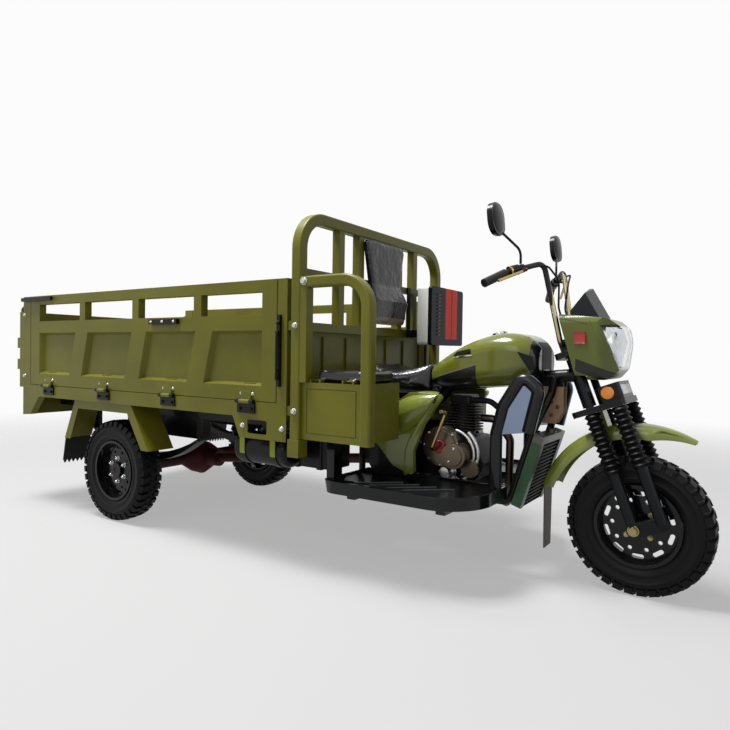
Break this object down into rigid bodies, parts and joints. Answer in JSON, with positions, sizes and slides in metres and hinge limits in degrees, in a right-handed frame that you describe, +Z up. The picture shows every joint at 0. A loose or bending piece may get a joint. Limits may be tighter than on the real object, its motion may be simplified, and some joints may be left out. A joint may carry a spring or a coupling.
{
  "type": "cargo motor tricycle",
  "caption": "Motor tricycle with a drop-side load bed over two rear wheels, a headboard with seat boxes, and a motorcycle front with a link fork and finned engine.",
  "frame": {"origin": "centre of the footprint on the ground", "axes": "+X forward, +Y to the vehicle's left, +Z up"},
  "size_m": [3.7568, 1.328, 1.53],
  "materials": {
    "olive_paint": "semi-gloss olive enamel",
    "olive_gloss": "gloss olive enamel",
    "black_paint": "satin black enamel",
    "axle_paint": "dark red primer",
    "cast_alloy": "as-cast alloy",
    "exhaust_steel": "heat-blackened steel",
    "radiator_fins": "black fins",
    "radiator_paint": "dark green enamel",
    "black_plastic": "moulded black plastic",
    "vinyl": "black grained vinyl",
    "rubber": "black rubber",
    "tyre_rubber": "black tyre rubber",
    "rim_paint": "black enamel",
    "fork_steel": "black enamel",
    "bar_zinc": "yellow zinc plate",
    "lamp_lens": "clear moulded lens",
    "lamp_red": "red moulded lens",
    "smoke_screen": "smoked acrylic"
  },
  "bodies": {
    "chassis": {"arm_rail": "olive_paint", "backrest": "vinyl", "bed_fittings": "black_paint", "bed_floor": "olive_paint", "bed_posts": "olive_paint", "bed_rails": "olive_paint", "chassis_rails": "black_paint", "coolant_hose": "rubber", "cylinder": "cast_alloy", "engine": "cast_alloy", "equipment_case": "black_plastic", "exhaust": "exhaust_steel", "footboards": "black_paint", "frame_cradle": "black_paint", "frame_spine": "black_paint", "front_wall": "olive_paint", "fuel_tank": "olive_gloss", "headboard": "olive_paint", "hung_tank": "black_paint", "leaf_springs": "black_paint", "leg_shields": "black_plastic", "lower_covers": "black_plastic", "mud_flaps": "rubber", "radiator_core": "radiator_fins", "radiator_tanks": "radiator_paint", "rear_axle": "axle_paint", "rear_fenders": "olive_paint", "rear_panel": "olive_paint", "saddle": "vinyl", "seat_boxes": "olive_paint", "side_covers": "olive_gloss", "tail_lamps": "lamp_red"},
    "right_panel": {"side_panel_right": "olive_paint", "side_latches_right": "black_paint"},
    "left_panel": {"side_panel_left": "olive_paint", "side_latches_left": "black_paint"},
    "gate": {"tailgate": "olive_paint"},
    "right_lid": {"seat_lid_right": "vinyl"},
    "left_lid": {"seat_lid_left": "vinyl"},
    "steering": {"fork_yokes": "black_paint", "fork_legs": "fork_steel", "fork_gaiters": "rubber", "handlebar": "bar_zinc", "grips": "rubber", "mirrors": "black_plastic", "nacelle": "olive_gloss", "headlamp_lens": "lamp_lens", "windscreen": "smoke_screen", "fork_lamp": "black_plastic", "fork_lamp_lens": "lamp_lens", "bar_controls": "black_plastic", "control_cables": "rubber", "front_fender": "olive_gloss", "front_flap": "rubber"},
    "front_wheel": {"front_tyre": "tyre_rubber", "front_rim": "rim_paint"},
    "rear_right_wheel": {"rear_right_tyre": "tyre_rubber", "rear_right_rim": "rim_paint"},
    "rear_left_wheel": {"rear_left_tyre": "tyre_rubber", "rear_left_rim": "rim_paint"}
  },
  "joints": [
    {"name": "steer", "type": "hinge", "parent": "chassis", "child": "steering", "pos_m": [1.36627, 0, 0.83], "axis": [-0.3535, 0, 0.9354], "range_deg": [-38, 38]},
    {"name": "front_spin", "type": "hinge", "parent": "steering", "child": "front_wheel", "pos_m": [1.6059, 0, 0.2725], "axis": [0, 1, 0], "continuous": true},
    {"name": "rear_right_spin", "type": "hinge", "parent": "chassis", "child": "rear_right_wheel", "pos_m": [-0.9341, -0.551, 0.2725], "axis": [0, 1, 0], "continuous": true},
    {"name": "rear_left_spin", "type": "hinge", "parent": "chassis", "child": "rear_left_wheel", "pos_m": [-0.9341, 0.551, 0.2725], "axis": [0, 1, 0], "continuous": true},
    {"name": "right_drop", "type": "hinge", "parent": "chassis", "child": "right_panel", "pos_m": [-0.9341, -0.654, 0.708], "axis": [1, 0, 0], "range_deg": [0, 170]},
    {"name": "left_drop", "type": "hinge", "parent": "chassis", "child": "left_panel", "pos_m": [-0.9341, 0.654, 0.708], "axis": [-1, 0, 0], "range_deg": [0, 170]},
    {"name": "gate_drop", "type": "hinge", "parent": "chassis", "child": "gate", "pos_m": [-1.8644, 0, 0.69], "axis": [0, -1, 0], "range_deg": [0, 170]},
    {"name": "right_lid_lift", "type": "hinge", "parent": "chassis", "child": "right_lid", "pos_m": [0.5409, -0.596, 0.812], "axis": [1, 0, 0], "range_deg": [0, 80]},
    {"name": "left_lid_lift", "type": "hinge", "parent": "chassis", "child": "left_lid", "pos_m": [0.5409, 0.596, 0.812], "axis": [-1, 0, 0], "range_deg": [0, 26]}
  ]
}
